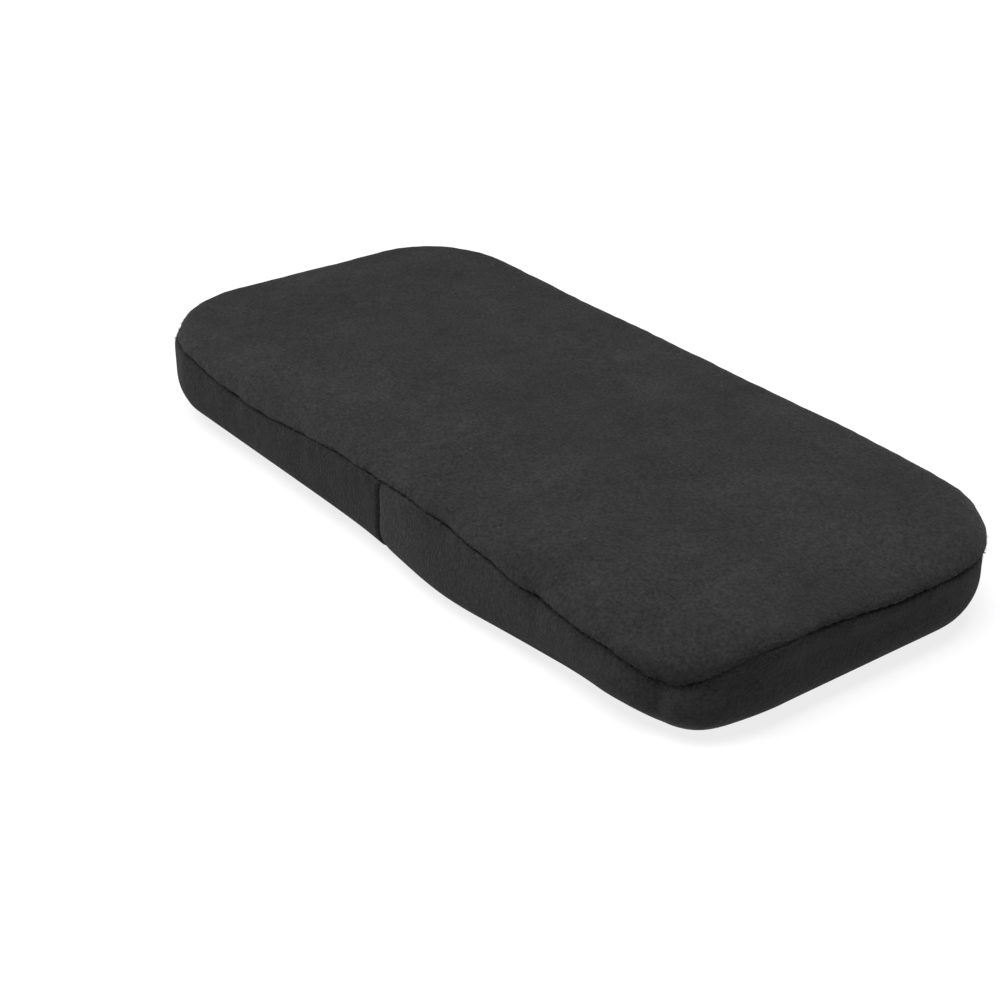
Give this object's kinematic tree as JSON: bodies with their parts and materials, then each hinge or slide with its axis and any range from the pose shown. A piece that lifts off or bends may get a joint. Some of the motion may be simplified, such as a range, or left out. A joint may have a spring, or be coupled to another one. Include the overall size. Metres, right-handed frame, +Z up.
{
  "type": "chair armrest pad",
  "caption": "Oblong foam pad in a zipped plush cover, with elastic straps underneath that hold it on a chair's armrest.",
  "frame": {"origin": "middle of the flat underside, on the surface that the pad rests on", "axes": "+X along the pad, +Y across it towards the zip, +Z up through its thickness"},
  "size_m": [0.25, 0.1235, 0.03],
  "materials": {
    "plush": "short-pile velour, matt",
    "memory_foam": "open-cell foam, matt",
    "base_cloth": "non-slip knitted base cloth with printed silicone dots",
    "elastic": "woven elastic webbing, matt",
    "thread": "spun sewing thread",
    "zip_tape": "woven polyester tape, matt",
    "zip_nylon": "moulded nylon coil",
    "zip_metal": "dark enamelled zinc, satin"
  },
  "bodies": {
    "pad": {"foam_core": "memory_foam", "top_panel": "plush", "boxing_left": "plush", "boxing_right": "plush", "zip_strip_upper": "plush", "zip_strip_lower": "plush", "bottom_panel": "base_cloth", "top_seam_thread": "thread", "bottom_seam_thread": "thread", "front_join_thread": "thread", "zip_end_thread_left": "thread", "zip_end_thread_right": "thread", "zip_stitching_upper": "thread", "zip_stitching_lower": "thread", "zip_tape_upper": "zip_tape", "zip_tape_lower": "zip_tape", "zip_teeth_upper": "zip_nylon", "zip_teeth_lower": "zip_nylon", "zip_top_stop_upper": "zip_metal", "zip_top_stop_lower": "zip_metal", "zip_bottom_stop": "zip_metal", "strap_stitching_left_front": "thread", "strap_stitching_left_rear": "thread", "strap_stitching_right_front": "thread", "strap_stitching_right_rear": "thread"},
    "zip_slider": {"zip_slider": "zip_metal"},
    "zip_pull": {"zip_pull": "zip_metal"},
    "strap_left": {"strap_left": "elastic"},
    "strap_right": {"strap_right": "elastic"}
  },
  "joints": [
    {"name": "zip_travel", "type": "slide", "parent": "pad", "child": "zip_slider", "axis": [-1, 0, 0], "range_m": [0, 0.14], "deforming": ["zip_teeth_upper", "zip_teeth_lower"]},
    {"name": "zip_pull_swing", "type": "hinge", "parent": "zip_slider", "child": "zip_pull", "pos_m": [0.07, 0.06205, 0.0165], "axis": [0, 0, -1], "range_deg": [0, 180]},
    {"name": "strap_left_stretch", "type": "slide", "parent": "pad", "child": "strap_left", "axis": [0, 0, -1], "range_m": [0, 0.03], "stiffness_N_per_m": 150, "deforming": ["strap_left"]},
    {"name": "strap_right_stretch", "type": "slide", "parent": "pad", "child": "strap_right", "axis": [0, 0, -1], "range_m": [0, 0.03], "stiffness_N_per_m": 150, "deforming": ["strap_right"]}
  ]
}
